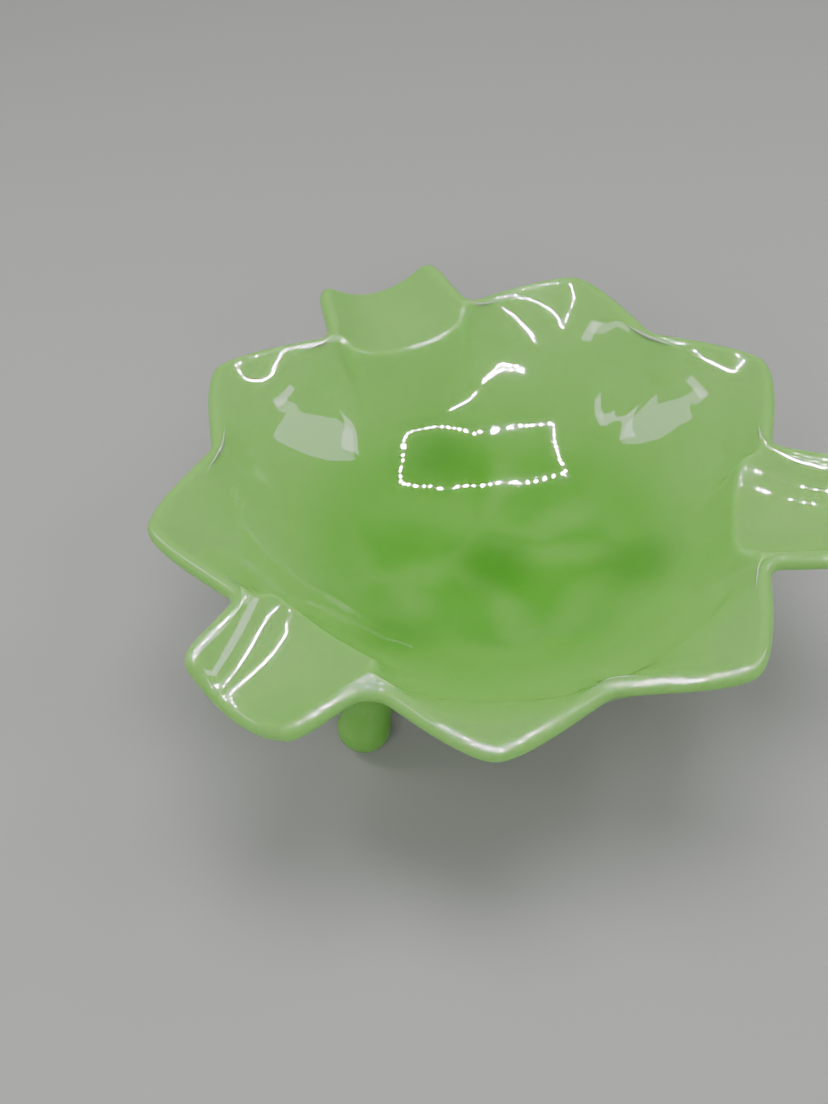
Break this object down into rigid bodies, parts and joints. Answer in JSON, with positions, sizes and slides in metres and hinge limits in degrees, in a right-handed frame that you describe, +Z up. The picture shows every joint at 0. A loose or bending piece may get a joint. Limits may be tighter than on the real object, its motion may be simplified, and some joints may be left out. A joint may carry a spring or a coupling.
{
  "type": "three-footed glass dish",
  "caption": "Shallow pressed-glass bowl with a petal-shaped rim, raised on short ball feet, with shallow scoop handles reaching out between the petals.",
  "frame": {"origin": "middle of the dish's footprint on the table, under the bowl; the bowl's own upright axis stands 5.3 mm behind it at x = -0.0053", "axes": "+Z up out of the bowl; +X outward along the first handle; +Y to its left, across the other two handles, which is the footprint's longest way by less than a millimetre"},
  "size_m": [0.1617, 0.162, 0.0553],
  "materials": {
    "green_glass": "translucent green pressed glass, glossy fire-polished surface, lighter and less saturated where it is thin"
  },
  "bodies": {
    "root": {"bowl": "green_glass", "handle_right": "green_glass", "handle_back": "green_glass", "handle_left": "green_glass", "foot_right": "green_glass", "foot_back": "green_glass", "foot_left": "green_glass"}
  },
  "joints": []
}
